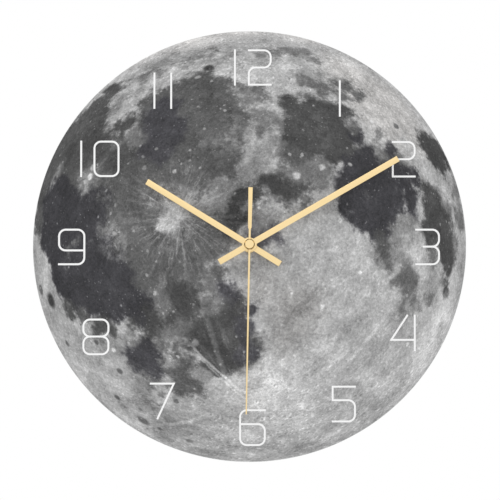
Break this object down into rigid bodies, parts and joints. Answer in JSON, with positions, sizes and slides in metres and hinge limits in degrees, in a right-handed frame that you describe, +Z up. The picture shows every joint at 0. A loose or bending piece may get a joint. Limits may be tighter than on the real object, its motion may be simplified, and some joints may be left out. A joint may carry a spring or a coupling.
{
  "type": "wall clock",
  "caption": "Frameless round wall clock: printed acrylic dial, flat hour, minute and second hands, and a battery quartz movement with gear train, setting knob and wall hanger.",
  "frame": {"origin": "on the hands' axis, in the plane of the movement's back face, which lies against the wall", "axes": "+Y from the dial into the wall, +X to the right as the dial is read, +Z up to twelve o'clock"},
  "size_m": [0.3, 0.031, 0.3],
  "materials": {
    "dial_acrylic": "printed acrylic, satin",
    "gold_hands": "pale gold anodised, satin",
    "turned_brass": "turned",
    "spring_steel": "nickel plated",
    "gasket_rubber": "matt",
    "case_plastic": "fine moulded grain",
    "wheel_plastic": "smooth moulded",
    "magnet": "sintered",
    "soft_iron": "stamped",
    "copper_wire": "enamelled wire",
    "board_laminate": "laminate with solder mask",
    "chip_resin": "cast resin",
    "cell_jacket": "lacquered steel jacket"
  },
  "bodies": {
    "movement": {"movement_case": "case_plastic", "back_cover": "case_plastic", "wall_hanger": "case_plastic", "dial_plate": "dial_acrylic", "threaded_bush": "turned_brass", "rubber_gasket": "gasket_rubber", "dial_washer": "turned_brass", "hex_nut": "turned_brass", "stator": "soft_iron", "coil_core": "soft_iron", "coil_bobbin": "wheel_plastic", "coil_winding": "copper_wire", "circuit_board": "board_laminate", "quartz_crystal": "spring_steel", "driver_chip": "chip_resin", "positive_contact": "spring_steel", "negative_contact": "spring_steel"},
    "second_train": {"seconds_wheel": "wheel_plastic", "second_hand": "gold_hands", "second_hand_cap": "gold_hands"},
    "third_train": {"third_wheel": "wheel_plastic"},
    "centre_train": {"centre_wheel": "wheel_plastic"},
    "intermediate_train": {"intermediate_wheel": "wheel_plastic"},
    "rotor": {"rotor_pinion": "wheel_plastic", "rotor_magnet": "magnet"},
    "minute_train": {"minute_pipe": "turned_brass", "clutch_spring": "spring_steel", "minute_hand": "gold_hands"},
    "motion_train": {"motion_wheel": "wheel_plastic"},
    "hour_train": {"hour_wheel": "wheel_plastic", "hour_hand": "gold_hands"},
    "setting_train": {"setting_knob": "case_plastic", "setting_stem": "wheel_plastic"},
    "cell": {"dry_cell": "cell_jacket"}
  },
  "joints": [
    {"name": "second_turn", "type": "hinge", "parent": "movement", "child": "second_train", "pos_m": [0, 0, 0], "axis": [0, 1, 0], "continuous": true},
    {"name": "third_turn", "type": "hinge", "parent": "movement", "child": "third_train", "pos_m": [-0.00865, 0, 0], "axis": [0, 1, 0], "continuous": true},
    {"name": "centre_turn", "type": "hinge", "parent": "movement", "child": "centre_train", "pos_m": [0, 0, 0], "axis": [0, 1, 0], "continuous": true},
    {"name": "intermediate_turn", "type": "hinge", "parent": "movement", "child": "intermediate_train", "pos_m": [-0.00152, 0, 0.00862], "axis": [0, 1, 0], "continuous": true},
    {"name": "rotor_turn", "type": "hinge", "parent": "movement", "child": "rotor", "pos_m": [0.00244, 0, 0.01548], "axis": [0, 1, 0], "continuous": true},
    {"name": "minute_turn", "type": "hinge", "parent": "movement", "child": "minute_train", "pos_m": [0, 0, 0], "axis": [0, 1, 0], "continuous": true},
    {"name": "motion_turn", "type": "hinge", "parent": "movement", "child": "motion_train", "pos_m": [0.0076, 0, 0.00276], "axis": [0, 1, 0], "continuous": true},
    {"name": "hour_turn", "type": "hinge", "parent": "movement", "child": "hour_train", "pos_m": [0, 0, 0], "axis": [0, 1, 0], "continuous": true},
    {"name": "setting_turn", "type": "hinge", "parent": "movement", "child": "setting_train", "pos_m": [0.01519, 0, 0], "axis": [0, 1, 0], "continuous": true},
    {"name": "cell_slide", "type": "slide", "parent": "movement", "child": "cell", "axis": [0, 1, 0], "range_m": [0, 0.018]}
  ],
  "couplings": [
    {"joint": "third_turn", "follows": "second_turn", "ratio": -0.13333},
    {"joint": "centre_turn", "follows": "second_turn", "ratio": 0.016667},
    {"joint": "intermediate_turn", "follows": "second_turn", "ratio": -6},
    {"joint": "rotor_turn", "follows": "second_turn", "ratio": 30},
    {"joint": "motion_turn", "follows": "minute_turn", "ratio": -0.33333},
    {"joint": "hour_turn", "follows": "minute_turn", "ratio": 0.083333},
    {"joint": "setting_turn", "follows": "minute_turn", "ratio": 1}
  ]
}
